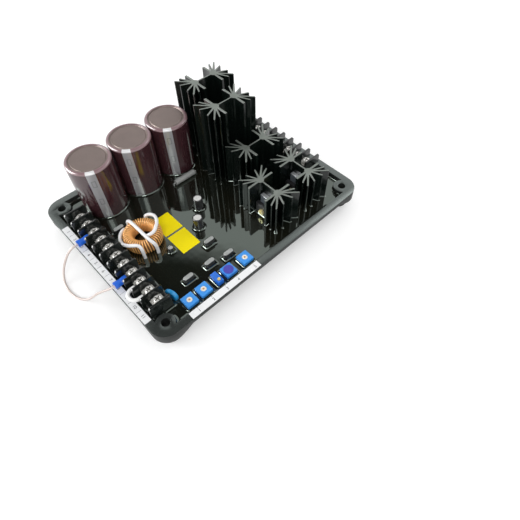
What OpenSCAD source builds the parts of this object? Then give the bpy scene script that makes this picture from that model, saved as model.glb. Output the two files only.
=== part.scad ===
// Automatic voltage regulator: a potted control module in an open plastic tray.
// Millimetres, +Z up. The origin is under the tray's centre, level with its feet.
// Layout distances are measured from the rim's outer front left corner.

/* [Tray] */
// Height from the underside of the feet to the rim
tray_h = 19; // [17:0.5:26]
// Width of the flat rim round the well
rim_w = 6; // [5:0.5:8]
// Thickness of the rim flange
flange_t = 4; // [2:0.5:6]
// Outer corner radius of the rim
corner_r = 13; // [11:0.5:16]
// Thickness of the well's side walls
wall_t = 2.4; // [1.6:0.2:3]
// How far each side wall leans in from the rim to the floor
wall_lean = 3; // [1:0.5:3.5]
// Thickness of the tray's floor
floor_t = 2.5; // [1.5:0.5:4]
// Height of the four feet below the floor
foot_h = 1.5; // [0.5:0.5:3]
// Radius of a corner post at its foot
foot_r = 6.3; // [5:0.1:6.8]
// Radius of a corner post at the rim
post_r = 7; // [6:0.1:8]
// Radius of the corner skirts where they meet the flange
skirt_r = 18; // [14:0.5:20]
// Depth of the corner skirts below the flange
skirt_h = 9; // [4:0.5:10]
// Distance from the rim's edges to each mounting hole
hole_inset = 11.5; // [10.5:0.5:13]
// Radius of the mounting holes
hole_r = 3.2; // [2:0.1:4]

/* [Board and resin] */
// Depth of the resin's surface below the rim
fill_drop = 4; // [2:0.5:5]
// Clearance between the resin and the round parts cast into it
fill_gap = 0.05; // [0.02:0.01:0.2]
// Thickness of the circuit board
board_t = 1.6; // [1:0.2:2.4]
// Clearance between the board's edge and the tray
board_gap = 0.8; // [0.4:0.1:1]
// Height of the stand-offs under the board
standoff_h = 3; // [2:0.5:4]
// Radius of the stand-offs
standoff_r = 3; // [2:0.5:4]

/* [Large capacitors] */
// Diameter over the sleeve
cap_d = 35; // [25:1:40]
// Height of the tops above the rim
cap_rise = 44.5; // [25:0.1:60]
// Gap between neighbouring capacitors
cap_between = 0.8; // [0.4:0.1:6]
// Gap from the left terminal strip to the first capacitor
cap_strip_gap = 1; // [0.5:0.1:6]
// Gap from the back of the well to the capacitors
cap_back_gap = 4; // [2:0.5:10]
// Thickness of the shrink sleeve
sleeve_t = 0.4; // [0.2:0.1:0.8]
// Edge rounding of the can's top, over the sleeve
cap_round = 1.8; // [1:0.1:3]
// Width of the sleeve's lip on the can's top
sleeve_lip = 2.4; // [2:0.1:5]

/* [Terminal strips] */
// Spacing of the terminals
pitch = 10.2; // [8:0.1:12]
// Number of terminals on the left strip
left_ways = 11; // [10:1:12]
// Number of terminals on the right strip
right_ways = 9; // [4:1:10]
// Width of a strip
strip_w = 15; // [13:0.5:18]
// Gap from the well's edge to the left strip
left_strip_gap = 3.3; // [2.4:0.1:6]
// Gap from the well's edge to the right strip
right_strip_gap = 2.5; // [2.4:0.1:6]
// Gap from the front left post to the left strip
strip_end_gap = 1.15; // [0.5:0.05:4]
// Distance from the rim's front edge to the right strip
right_strip_front = 43.3; // [20:0.1:50]
// Gap from the heat sinks to the right strip
right_strip_clear = 3.85; // [1:0.05:8]
// Thickness of the barriers
barrier_t = 1.5; // [1:0.1:2.5]
// Height of the barriers above the rim
barrier_rise = 12; // [9:0.5:16]
// Chamfer of the barriers' top corners
barrier_chamfer = 1; // [0.5:0.1:2]
// How far the barriers reach past the strip on the wire side
barrier_reach = 2.4; // [0:0.1:2.6]
// Height of the terminal ledge above the rim
ledge_rise = 4; // [2:0.5:5]
// Setback of the ledge from the wire side of the barriers
ledge_setback = 2.2; // [1:0.1:3]
// Thickness of the terminal plates
plate_t = 0.8; // [0.5:0.1:1.2]
// Length of the terminal plates across the strip
plate_l = 9; // [8:0.5:10]
// Gap between a terminal plate and the barriers beside it
plate_gap = 0.5; // [0.3:0.1:0.8]
// Width of the tail that each plate sends down to the board
tail_w = 1.4; // [1:0.1:2]
// Side of the square clamp under each terminal screw's head
clamp_w = 6.8; // [6.2:0.1:7.4]
// Thickness of the clamps
clamp_t = 0.8; // [0.5:0.1:1.2]
// Radius of the terminal screws' heads
screw_r = 3; // [2.5:0.1:3.4]
// Height of the terminal screws' heads
screw_head_h = 2; // [1.4:0.1:2.6]
// Edge rounding of the terminal screws' heads
screw_round = 0.9; // [0.4:0.1:1.2]
// Radius of the terminal screws' shanks
shank_r = 1.7; // [1.2:0.1:2]
// Length of the terminal screws' shanks below the plates
shank_l = 6; // [4:0.5:9]
// Clearance round shanks, tails and other fixed metal in plastic
metal_gap = 0.05; // [0.02:0.01:0.1]
// Width of a screwdriver slot
slot_w = 0.8; // [0.5:0.1:1]
// Angle that the terminal screws' cross slots are turned
slot_turn = 20; // [0:1:45]

/* [Heat sinks] */
// Length of the extruded section along its web
sink_l = 41.9; // [36:0.1:50]
// Width of the extruded section
sink_w = 25.4; // [22:0.1:32]
// Thickness of the web between the hubs
web_t = 1.3; // [1:0.1:3]
// Distance from the section's centre to each hub
hub_off = 9.6; // [9.4:0.1:12]
// Radius of the hubs
hub_r = 3.2; // [1.8:0.1:3.3]
// Distance from the section's centre to each cross plate
cross_off = 9.2; // [8:0.1:10]
// Thickness of a fin at its root
fin_root = 2; // [1.2:0.1:2.4]
// Thickness of a fin at its tip
fin_tip = 1.2; // [0.8:0.1:1.6]
// Distance from the section's centre to the tips of the side fins
side_tip = 15.5; // [14:0.1:17]
// Distance from the web's plane to the tips of the end fins
end_tip = 4.8; // [3.6:0.1:6]
// Height of the short heat sinks above the rim
short_rise = 25; // [20:0.5:40]
// Height of the middle heat sink above the rim
mid_rise = 33.5; // [20:0.5:50]
// Height of the tall heat sinks above the rim
tall_rise = 62; // [30:0.5:80]
// Gap from the last capacitor to the back heat sink
sink_cap_gap = 3; // [1:0.1:8]
// How far the front tall sink sits to the left of the back one
tall_stagger = 8.9; // [0:0.1:12]
// How far the middle sink sits to the left of the back one
mid_stagger = 1.9; // [0:0.1:6]
// How far the right short sink sits to the right of the back sink
short_shift = 12.1; // [8:0.1:16]
// Spacing of the two short heat sinks
short_pitch = 34.3; // [33.5:0.1:40]
// Gap from the well's front edge to the short sinks
sink_front_gap = 9.9; // [4:0.1:16]
// Gap between the short sinks and the middle one
short_mid_gap = 3.5; // [1:0.1:10]
// Gap between the middle sink and the tall one behind it
mid_tall_gap = 0.4; // [0.3:0.1:10]
// Gap between the two tall sinks
tall_gap = 10.1; // [8:0.1:16]
// Gap from the back tall sink to the well's back edge
sink_back_gap = 11; // [4:0.1:20]

/* [Power devices] */
// Height of a device's moulded body
device_h = 16; // [12:0.5:20]
// Thickness of a device's moulded body
device_t = 3.2; // [2.4:0.1:4]
// Height of a device's body top above the rim
device_rise = 7.5; // [6:0.5:12]
// Gap from a device to the cross plates beside it
device_gap = 1; // [1:0.1:2]
// Thickness of a device's metal tab
tab_t = 3.2; // [1:0.1:3.4]
// Width of a device's metal tab
tab_w = 10; // [8:0.5:13]
// Height of a metal tab above its body
tab_rise = 7.5; // [4:0.5:10]
// Height of the fixing screws above the rim
fixing_rise = 1; // [0:0.1:3]
// Radius of the fixing screws' heads
fixing_r = 2.6; // [2:0.1:3.2]
// Height of the fixing screws' heads
fixing_head_h = 1.8; // [1:0.1:2.2]
// Radius of the fixing screws' shanks
fixing_shank_r = 1.4; // [1:0.1:1.6]

/* [Trimmers] */
// Side of a single-turn trimmer
trimmer_w = 9.5; // [7:0.1:10]
// Height of the single-turn trimmers above the rim
trimmer_rise = 0.3; // [-1:0.1:3]
// Gap from the well's front edge to the trimmers
trimmer_gap = 3.3; // [2.6:0.1:5]
// Radius of a rotor
rotor_r = 2.1; // [1.2:0.1:3]
// Height of a rotor
rotor_h = 1.6; // [1.2:0.1:3]
// Running clearance of the rotors and of the adjusting screw
rotor_clear = 0.05; // [0.02:0.01:0.1]
// Radius of the lacquer on the sealed trimmer
lacquer_r = 3.8; // [2:0.1:4]
// Thickness of the lacquer
lacquer_t = 0.4; // [0.2:0.1:0.8]
// Width of the multi-turn trimmer
multi_w = 4.8; // [4:0.1:6]
// Length of the multi-turn trimmer
multi_l = 9.9; // [8:0.1:11]
// Height of the multi-turn trimmer above the rim
multi_rise = 1.5; // [0:0.1:4]
// Radius of the multi-turn trimmer's adjusting screw
adjuster_r = 1.2; // [0.8:0.1:1.6]

/* [Choke] */
// Radius of the ring core's centre line
choke_r = 11.1; // [10.5:0.1:11.5]
// Radius of the ring core's rounded top and bottom
core_r = 2.8; // [2.4:0.1:2.9]
// Half height of the ring core's flat sides
core_rise = 2.4; // [0:0.1:3]
// Radius of the winding wire
wire_r = 0.5; // [0.3:0.05:0.5]
// Clearance between the core and the winding
wire_gap = 0.05; // [0.02:0.01:0.2]
// Number of turns
turns = 42; // [12:1:42]
// Radius of the tie cord
tie_r = 1.2; // [0.8:0.1:1.3]
// Clearance between the winding and the tie cord
tie_gap = 0.2; // [0.2:0.05:0.5]
// Angle that the tie cord is turned round the ring
tie_turn = -44; // [-50:1:-38]
// Gap from the left terminal strip to the choke
choke_gap = 3.2; // [3.1:0.1:4]
// Distance from the rim's front edge to the choke's centre
choke_y = 82; // [76:1:88]

/* [Board parts] */
// Length of a film capacitor
film_l = 9; // [7:0.1:9.5]
// Thickness of a film capacitor
film_t = 4; // [3:0.1:5]
// Height of the film capacitors above the rim
film_rise = 2; // [0:0.1:5]
// Radius of the two small upright capacitors
small_r = 4; // [3:0.1:5]
// Height of the small upright capacitors above the rim
small_rise = 7.8; // [4:0.1:12]
// Edge rounding of the small upright capacitors
small_round = 0.6; // [0.2:0.1:1]
// Radius of the tiny upright capacitor
tiny_r = 2.3; // [1.5:0.1:2.5]
// Height of the tiny upright capacitor above the rim
tiny_rise = 1; // [-1:0.1:4]
// Radius of the axial resistor
resistor_r = 2.4; // [2:0.1:3.5]
// Length of the axial resistor's body
resistor_l = 20; // [14:0.5:22]
// Gap from the capacitor row to the axial resistor
resistor_gap = 3.2; // [2:0.1:4]
// Distance from the second capacitor's centre to the axial resistor's centre
resistor_shift = 28.9; // [26:0.1:30]
// Radius of the wire leads
lead_r = 0.5; // [0.3:0.05:0.6]
// Length of lead that shows at each end of the resistor
lead_l = 1.8; // [1.2:0.1:2.4]
// Radius of the disc varistor
disc_r = 5.5; // [4:0.1:6]
// Thickness of the disc varistor
disc_t = 3.4; // [3:0.1:4.4]
// Edge rounding of the disc varistor
disc_round = 1.4; // [0.8:0.1:1.4]
// Height of the varistor's centre above the rim
disc_rise = -2; // [-2.4:0.1:3]
// Angle that the varistor is turned from the strip
disc_turn = 18; // [0:1:20]

/* [Stickers and labels] */
// Thickness of the stickers and label strips
sticker_t = 0.15; // [0.05:0.05:0.4]
// Width of a yellow sticker
sticker_w = 16.4; // [10:0.1:17]
// Length of a yellow sticker
sticker_l = 20.6; // [10:0.1:21]
// Gap between the two yellow stickers
sticker_gap = 1.8; // [0.5:0.1:4]
// Gap from the ring core's centre line to the stickers
sticker_choke_gap = 3; // [2.5:0.1:5]
// Distance from the choke's centre to the gap between the stickers, towards the front
sticker_shift = 9.5; // [4:0.1:12]
// Margin of a label strip inside the rim
label_margin = 0.3; // [0.1:0.1:1]
// Distance from the rim's left edge to the front label strip
label_start = 26.6; // [22:0.1:40]
// Length of the front label strip
label_l = 64; // [40:1:100]

/* [Jumper and link] */
// Radius of a lug's insulating sleeve
lug_r = 2.8; // [2:0.1:3.2]
// Length of a lug's insulating sleeve
lug_l = 10; // [8:0.5:11]
// How far the crimp draws in a sleeve's waist
lug_waist = 0.5; // [0.2:0.1:0.8]
// Radius of a lug's metal barrel
barrel_r = 1.7; // [1.2:0.1:1.9]
// Length of a lug's metal barrel
barrel_l = 7; // [5:0.5:7]
// Width of a lug's fork
fork_w = 6.4; // [5.6:0.1:7]
// Thickness of the forks and of the link's tongues
fork_t = 0.8; // [0.5:0.1:1]
// Clearance between a fork and the screw's shank
fork_gap = 0.2; // [0.1:0.05:0.4]
// Radius of the jumper wire
jumper_r = 0.9; // [0.6:0.1:1.2]
// Radius of the link's insulation
link_r = 1.4; // [1:0.1:1.6]
// Straight run of the jumper out of each sleeve
jumper_out = 0.5; // [0.2:0.1:1]
// Straight length of the link before it bends
link_leg = 3; // [2:0.1:4]
// Width of the link's tongues
tongue_w = 2.2; // [1.4:0.1:2.6]

/* [Hidden] */
$fn = 48;
hull_fn = 32;
eps = 0.01;
// How far a cutting shape runs past the face it cuts
cut = 1;
cap_count = 3;

// Levels
floor_z = foot_h + floor_t;
board_z = floor_z + standoff_h;
seat_z = board_z + board_t;
fill_z = tray_h - fill_drop;
ledge_z = tray_h + ledge_rise;
plate_z = ledge_z + plate_t;
clamp_z = plate_z + fork_t;
head_z = clamp_z + clamp_t;
lean = wall_lean / (tray_h - floor_z);

// Places across the tray, from the rim's left edge
left_strip_x = rim_w + left_strip_gap + strip_w / 2;
cap_x = left_strip_x + strip_w / 2 + cap_strip_gap + cap_d / 2;
cap_pitch = cap_d + cap_between;
cap_h = tray_h + cap_rise - seat_z;
cap_end = cap_x + (cap_count - 1) * cap_pitch + cap_d / 2;
back_sink_x = cap_end + sink_cap_gap + sink_l / 2;
short_right_x = back_sink_x + short_shift;
right_strip_x = max(short_right_x + sink_w / 2, back_sink_x + sink_l / 2) + right_strip_clear + strip_w / 2;
tray_l = right_strip_x + strip_w / 2 + right_strip_gap + rim_w;

// Places along the tray, from the rim's front edge
short_y = rim_w + sink_front_gap + sink_l / 2;
mid_y = short_y + sink_l / 2 + short_mid_gap + sink_w / 2;
tall_front_y = mid_y + sink_w + mid_tall_gap;
tall_back_y = tall_front_y + sink_w + tall_gap;
post_reach = hole_inset + post_r;
left_strip_l = left_ways * pitch + barrier_t;
right_strip_l = right_ways * pitch + barrier_t;
left_strip_y = post_reach + strip_end_gap + left_strip_l / 2;
right_strip_y = right_strip_front + right_strip_l / 2;
tray_w = max(tall_back_y + sink_w / 2 + sink_back_gap + rim_w,
             post_reach + strip_end_gap + left_strip_l + post_reach,
             right_strip_front + right_strip_l + post_reach);
cap_y = tray_w - rim_w - cap_back_gap - cap_d / 2;

// Heat sinks as [x, y, turn, height above the rim]; the device side is the section's -X face
SINKS = [
    [short_right_x - short_pitch, short_y, 0, short_rise],
    [short_right_x, short_y, 0, short_rise],
    [back_sink_x - mid_stagger, mid_y, -90, mid_rise],
    [back_sink_x - tall_stagger, tall_front_y, -90, tall_rise],
    [back_sink_x, tall_back_y, -90, tall_rise]
];
device_w = 2 * (cross_off - fin_root / 2 - device_gap);
device_z = tray_h + device_rise - device_h;
fixing_z = tray_h + fixing_rise;
fixing_l = web_t + tab_t + device_t;
tab_x = -web_t / 2 - tab_t;
device_x = tab_x - device_t;

// Trimmers: x from the rim's left edge, in the row's order
trimmer_y = rim_w + trimmer_gap + trimmer_w / 2;
trimmer_x = [34, 46.7, 59.4, 70.3, 86.5];
trimmer_top = tray_h + trimmer_rise;
multi_top = tray_h + multi_rise;
multi_y = trimmer_y - trimmer_w / 2 + multi_l / 2;
adjuster_y = multi_y - multi_l / 2 + multi_w / 2;

// Choke
turn_rings = 10;
wire_sides = 6;
coil_r = (core_r + wire_gap + wire_r) / cos(180 / turn_rings);
wound_r = coil_r + wire_r;
choke_out = choke_r + wound_r;
choke_x = left_strip_x + strip_w / 2 + choke_gap + choke_out;
choke_half = wound_r + core_rise;
choke_z = fill_z + choke_half;
tie_off = wound_r + tie_r + tie_gap;
// Tie strands as [angle round the ring, angle round its section, slack]; both ends drop to the resin
TIE_OVER = [[142, 0, 0], [142, 22, 0], [142, 44, 0], [142, 66, 0], [142, 88, 0], [-52, 92, 0], [-50, 70, 0],
            [-47, 47, 0], [-44, 24, 0], [-42, 0, 0]];
TIE_LEFT = [[-80, 0, 0], [-81, 20, 0], [-84, 38, 0], [-91, 49, 0], [-102, 47, 0], [-115, 36, 0],
            [-128, 23, 0], [-142, 12, 0.2], [-156, 6, 0.5], [-170, 4, 0.8], [-183, 4, 0.8], [-194, 4, 0.4],
            [-202, 0, 0]];
TIE_RIGHT = [[91, 0, 0], [89, 20, 0.4], [82, 33, 1], [72, 40, 1.6], [58, 47, 1.6], [47, 56, 1], [37, 65, 0.4],
             [27, 75, 0], [14, 87, 0], [-2, 94, 0], [-15, 100, 0], [-25, 109, 0], [-33, 120, 0],
             [-39, 136, 0], [-43, 152, 0], [-45, 168, 0]];

// Board parts as [x, y] from the rim's front left corner
FILMS = [[77, 44.2], [80, 25.2], [64.4, 28.5], [44.8, 28.8], [choke_x - 9.2, choke_y + 20.6]];
SMALLS = [[95, 79.6], [82, 63.5]];
TINY = [choke_x + 8.8, choke_y - 22.5];
resistor_x = cap_x + cap_pitch + resistor_shift;
resistor_y = cap_y - cap_d / 2 - resistor_gap - resistor_r;
disc_x = left_strip_x + strip_w / 2 + disc_t;
disc_y = 27;
STANDOFFS = [[0.12, 0.3], [0.12, 0.75], [0.5, 0.5], [0.62, 0.2], [0.88, 0.3], [0.88, 0.75]];

// Stickers and labels
sticker_x = choke_x + choke_r + sticker_choke_gap + sticker_w / 2;
sticker_mid = choke_y - sticker_shift;

// Jumper and link: terminals are counted from the back
JUMPER_WAYS = [2, 7];
LINK_WAYS = [8, 9];
lug_x = left_strip_x - strip_w / 2 + ledge_setback - lug_l;
fork_z = plate_z + fork_t / 2;
barrel_x = left_strip_x - strip_w / 2 + ledge_setback - barrel_l;
link_x = left_strip_x - strip_w / 2 + ledge_setback;
cord_sides = 8;
// Droop between the two lugs, from the rim's left edge and the middle of the two terminals
JUMPER_DROOP = [
    [-3, 25.7, 23.4], [-7, 26.4, 20.5], [-10.5, 27.1, 16], [-13.5, 27.4, 11.5], [-16.5, 26.9, 7],
    [-19.5, 24.4, 3.2], [-21.5, 20.4, 1.4], [-22.5, 15.9, 0.9], [-22.8, 10.9, 0.9], [-22.3, 5.9, 0.9],
    [-21, 1.2, 0.9], [-18.5, -3.1, 1.4], [-15.5, -6.7, 3.2], [-12.5, -9.9, 7], [-10, -13.1, 11.5],
    [-7.5, -17.1, 16], [-5, -21.1, 20.3], [-2, -24.3, 23.2]
];
jumper_mid = (way_y(JUMPER_WAYS[0]) + way_y(JUMPER_WAYS[1])) / 2;
jumper_path = concat(
    [for (x = [barrel_x, lug_x - jumper_out]) [x, way_y(JUMPER_WAYS[0]), fork_z]],
    [for (p = JUMPER_DROOP) p + [0, jumper_mid, 0]],
    [for (x = [lug_x - jumper_out, barrel_x]) [x, way_y(JUMPER_WAYS[1]), fork_z]]);

function way_y(i) = left_strip_y + ((left_ways - 1) / 2 - i) * pitch;
function inset_at(z) = rim_w + (tray_h - z) * lean;
function unit(v) = v / norm(v);
function flat_side(b) = max(-1, min(1, sin(b) / sin(180 / turn_rings)));
function ring_point(off, a, b) = let (reach = choke_r + off * cos(b))
    [reach * cos(a), reach * sin(a), off * sin(b) + core_rise * flat_side(b)];
function tie_point(p) = ring_point(tie_off + p[2], p[0], p[1]);
function dropped(p) = [p[0], p[1], -choke_half];
function tie_path(strand) = let (run = [for (p = strand) tie_point(p)])
    concat([dropped(run[0])], run, [dropped(run[len(run) - 1])]);
function tangent(path, i) = let (last = len(path) - 1)
    unit(path[min(i + 1, last)] - path[max(min(i, last) - 1, 0)]);
function steep(t) = norm([t[0], t[1]]) < abs(t[2]);
function squared(u, t) = unit(u - (u * t) * t);

// Moves a piece from the rim's front left corner to the part's own frame
module at(x, y, z = 0) {
    translate([x - tray_l / 2, y - tray_w / 2, z]) children();
}

// Flat rectangle with round corners, as exact arcs
module round_rect(l, w, r) {
    square([l - 2 * r, w], center = true);
    square([l, w - 2 * r], center = true);
    for (x = [-1, 1], y = [-1, 1])
        translate([x * (l / 2 - r), y * (w / 2 - r)]) circle(r);
}

// Block between two levels whose walls lean with the well, set in from the rim's edge by the given extra
module well_block(z0, z1, extra) {
    hull() for (z = [z0, z1 - eps])
        translate([0, 0, z]) linear_extrude(eps)
            round_rect(tray_l - 2 * (inset_at(z) + extra), tray_w - 2 * (inset_at(z) + extra),
                       corner_r - rim_w - min(extra, 0), $fn = hull_fn);
}

// Repeats a piece at the four mounting holes
module at_posts() {
    for (x = [hole_inset, tray_l - hole_inset], y = [hole_inset, tray_w - hole_inset])
        at(x, y) children();
}

// Repeats a piece at the board's stand-offs, spread by shares of the tray's sides
module at_standoffs() {
    for (p = STANDOFFS) at(p[0] * tray_l, p[1] * tray_w) children();
}

// Tube with flat ends swept along a path of points
module swept(path, r, sides) {
    count = len(path);
    first = cross(tangent(path, 0), steep(tangent(path, 0)) ? [1, 0, 0] : [0, 0, 1]);
    sideways = [for (i = 0, u = unit(first); i < count; i = i + 1, u = squared(u, tangent(path, i))) u];
    rings = [for (i = [0:count - 1]) let (u = sideways[i], v = cross(tangent(path, i), u))
        for (k = [0:sides - 1]) path[i] + r * (u * cos(360 * k / sides) + v * sin(360 * k / sides))];
    faces = concat(
        [[for (k = [0:sides - 1]) k]],
        [[for (k = [sides - 1:-1:0]) (count - 1) * sides + k]],
        [for (i = [0:count - 2], k = [0:sides - 1]) let (m = (k + 1) % sides)
            each [[i * sides + k, (i + 1) * sides + k, i * sides + m],
                  [i * sides + m, (i + 1) * sides + k, (i + 1) * sides + m]]]);
    polyhedron(rings, faces, convexity = 10);
}

// Cone under each corner of the rim, cut off flush with the rim's outside
module corner_skirts() intersection() {
    linear_extrude(tray_h) round_rect(tray_l, tray_w, corner_r);
    at_posts() translate([0, 0, tray_h - flange_t - skirt_h])
        cylinder(h = skirt_h + eps, r1 = post_r, r2 = skirt_r);
}

module tray() color([0.06, 0.06, 0.07]) difference() {
    union() {
        difference() {
            union() {
                translate([0, 0, tray_h - flange_t]) linear_extrude(flange_t)
                    round_rect(tray_l, tray_w, corner_r);
                well_block(foot_h, tray_h - flange_t + eps, -wall_t);
                corner_skirts();
            }
            well_block(floor_z, tray_h + eps, 0);
        }
        at_posts() cylinder(h = tray_h, r1 = foot_r, r2 = post_r);
        at_standoffs() translate([0, 0, floor_z - eps]) cylinder(h = standoff_h + eps, r = standoff_r);
    }
    at_posts() translate([0, 0, -cut]) cylinder(h = tray_h + 2 * cut, r = hole_r);
}

module circuit_board() color([0.1, 0.35, 0.15]) difference() {
    edge = inset_at(board_z) + board_gap;
    translate([0, 0, board_z]) linear_extrude(board_t)
        square([tray_l - 2 * edge, tray_w - 2 * edge], center = true);
    at_posts() translate([0, 0, board_z - cut]) cylinder(h = board_t + 2 * cut, r = post_r + board_gap);
}

module potting() color([0.02, 0.025, 0.022]) difference() {
    well_block(floor_z, fill_z, 0);
    circuit_board();
    at_posts() cylinder(h = tray_h, r1 = foot_r + fill_gap, r2 = post_r + fill_gap);
    at_standoffs() translate([0, 0, floor_z - cut])
        cylinder(h = standoff_h + cut + eps, r = standoff_r + fill_gap);
    at_caps() cylinder(h = tray_h, r = cap_d / 2 + fill_gap);
    strip_block(left_strip_x, left_strip_y, left_strip_l);
    strip_block(right_strip_x, right_strip_y, right_strip_l);
    for (i = [0:4]) at_sink(i) {
        linear_extrude(tray_h) sink_section();
        device_block();
        device_tab();
    }
    for (i = [0, 1, 3, 4]) trimmer_block(i);
    multi_block();
    for (p = FILMS) at(p[0], p[1], seat_z) film_block(tray_h);
    for (p = SMALLS) at(p[0], p[1], seat_z) cylinder(h = tray_h, r = small_r + fill_gap);
    at(TINY[0], TINY[1], seat_z) cylinder(h = tray_h, r = tiny_r + fill_gap);
    at_resistor_leads() cylinder(h = tray_h, r = lead_r + fill_gap);
    at_choke_leads() cylinder(h = tray_h, r = wire_r + fill_gap);
    varistor_shape(fill_gap);
}

// Large capacitors, seated on the board in a row along the back
module at_caps() {
    for (i = [0:cap_count - 1]) at(cap_x + i * cap_pitch, cap_y, seat_z) children();
}

module can_section(r, h, round_r) {
    square([r - round_r, h]);
    square([r, h - round_r]);
    translate([r - round_r, h - round_r]) circle(round_r);
}

module bare_can_section() {
    can_section(cap_d / 2 - sleeve_t, cap_h - sleeve_t, cap_round - sleeve_t);
}

module capacitor_can(i) color([0.46, 0.42, 0.4]) at(cap_x + i * cap_pitch, cap_y, seat_z)
    rotate_extrude() bare_can_section();

module capacitor_sleeve(i) color([0.23, 0.11, 0.13]) at(cap_x + i * cap_pitch, cap_y, seat_z) rotate_extrude()
    difference() {
        can_section(cap_d / 2, cap_h, cap_round);
        bare_can_section();
        square([cap_d / 2 - sleeve_lip, cap_h + cut]);
    }

// Barrier terminal strips: long side along Y, wire side towards the given sign of X
module strip_block(x, y, l) {
    at(x, y, seat_z) translate([-strip_w / 2, -l / 2, 0]) cube([strip_w, l, tray_h]);
}

module at_ways(x, y, ways) {
    for (i = [0:ways - 1]) at(x, y + (i - (ways - 1) / 2) * pitch) children();
}

module tail_shape(side, gap) {
    translate([-side * plate_l / 2, 0, seat_z]) translate([side * plate_t / 2, 0, (plate_z - seat_z) / 2])
        cube([plate_t + 2 * gap, tail_w + 2 * gap, plate_z - seat_z], center = true);
}

module terminal_base(x, y, ways, side) {
    l = ways * pitch + barrier_t;
    difference() {
        union() {
            at(x - side * ledge_setback / 2, y, seat_z) translate([-(strip_w - ledge_setback) / 2, -l / 2, 0])
                cube([strip_w - ledge_setback, l, ledge_z - seat_z]);
            at(x, y, seat_z) translate([-strip_w / 2, -l / 2, 0]) cube([strip_w, l, fill_z - seat_z]);
            for (i = [0:ways]) at(x, y + (i - ways / 2) * pitch, seat_z) barrier(side);
        }
        at_ways(x, y, ways) {
            tail_shape(side, metal_gap);
            translate([0, 0, plate_z - shank_l]) cylinder(h = shank_l + cut, r = shank_r + metal_gap);
        }
    }
}

module barrier(side) {
    top = tray_h + barrier_rise - seat_z;
    shoulder = top - barrier_chamfer;
    foot = strip_w / 2;
    tip = foot + barrier_reach;
    rotate([90, 0, 0]) translate([0, 0, -barrier_t / 2]) linear_extrude(barrier_t)
        polygon([[-side * foot, 0], [side * foot, 0],
                 [side * foot, tray_h - seat_z], [side * tip, tray_h - seat_z],
                 [side * tip, shoulder], [side * (tip - barrier_chamfer), top],
                 [side * (barrier_chamfer - foot), top], [-side * foot, shoulder]]);
}

module terminal_plates(x, y, ways, side) color([0.75, 0.74, 0.7]) at_ways(x, y, ways) difference() {
    union() {
        translate([-plate_l / 2, -(pitch - barrier_t) / 2 + plate_gap, ledge_z])
            cube([plate_l, pitch - barrier_t - 2 * plate_gap, plate_t]);
        tail_shape(side, 0);
    }
    translate([0, 0, ledge_z - cut]) cylinder(h = plate_t + 2 * cut, r = shank_r + metal_gap);
}

module terminal_screws(x, y, ways) color([0.78, 0.76, 0.7]) at_ways(x, y, ways) difference() {
    union() {
        translate([0, 0, plate_z - shank_l]) cylinder(h = clamp_z - plate_z + shank_l + eps, r = shank_r);
        translate([-clamp_w / 2, -clamp_w / 2, clamp_z]) cube([clamp_w, clamp_w, clamp_t]);
        translate([0, 0, head_z]) rotate_extrude() can_section(screw_r, screw_head_h, screw_round);
    }
    translate([0, 0, head_z + screw_head_h]) for (a = [0, 90]) rotate(a + slot_turn)
        cube([2 * (screw_r - screw_round), slot_w, screw_head_h], center = true);
}

// Heat sinks: an extruded section of one web, two cross plates and two hubs with six fins each
module at_sink(i) {
    at(SINKS[i][0], SINKS[i][1], seat_z) rotate(SINKS[i][2]) children();
}

module fin(from, to) {
    run = to - from;
    reach = norm(run) + fin_tip;
    translate(from) rotate(atan2(run[1], run[0]))
        polygon([[0, -fin_root / 2], [reach, -fin_tip / 2], [reach, fin_tip / 2], [0, fin_root / 2]]);
}

module sink_section() intersection() {
    square([sink_w, sink_l], center = true);
    union() {
        square([web_t, 2 * hub_off], center = true);
        for (s = [-1, 1]) {
            hub = [0, s * hub_off];
            translate([0, s * cross_off]) square([sink_w, fin_root], center = true);
            translate(hub) circle(hub_r);
            for (m = [-1, 1]) {
                fin(hub, [m * sink_w / 2, s * side_tip]);
                fin(hub, [m * sink_w / 2, s * sink_l / 2]);
                fin(hub, [m * end_tip, s * sink_l / 2]);
            }
        }
    }
}

module heat_sink(i) color([0.04, 0.045, 0.04]) at_sink(i) difference() {
    linear_extrude(tray_h + SINKS[i][3] - seat_z) sink_section();
    fixing_hole();
}

// Power devices, each screwed to the web of its heat sink
module fixing_hole() {
    translate([device_x - cut, 0, fixing_z - seat_z]) rotate([0, 90, 0])
        cylinder(h = fixing_l + 2 * cut, r = fixing_shank_r + metal_gap);
}

module device_block() {
    translate([device_x, -device_w / 2, device_z - seat_z]) cube([device_t, device_w, device_h]);
    for (s = [-1, 0, 1]) device_lead(s);
}

module device_tab() {
    translate([tab_x, -tab_w / 2, device_z - seat_z]) cube([tab_t, tab_w, device_h + tab_rise]);
}

module device_lead(s) {
    translate([device_x + device_t / 2, s * device_w / 3, 0])
        translate([-lead_r, -lead_r, 0]) cube([2 * lead_r, 2 * lead_r, device_z - seat_z + eps]);
}

module device_body(i) color([0.05, 0.05, 0.055]) at_sink(i) difference() {
    device_block();
    fixing_hole();
}

module device_tabs() color([0.62, 0.65, 0.7]) for (i = [0:4]) at_sink(i) difference() {
    device_tab();
    fixing_hole();
}

module device_screws() color([0.8, 0.65, 0.3]) for (i = [0:4]) at_sink(i)
    translate([device_x, 0, fixing_z - seat_z]) rotate([0, 90, 0]) difference() {
        union() {
            cylinder(h = fixing_l, r = fixing_shank_r);
            translate([0, 0, -fixing_head_h]) cylinder(h = fixing_head_h, r = fixing_r);
        }
        translate([0, 0, -fixing_head_h]) cube([2 * fixing_r, slot_w, fixing_head_h], center = true);
    }

// Trimmers in a row along the front
module trimmer_block(i) {
    at(trimmer_x[i], trimmer_y, seat_z) translate([-trimmer_w / 2, -trimmer_w / 2, 0])
        cube([trimmer_w, trimmer_w, trimmer_top - seat_z]);
}

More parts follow.
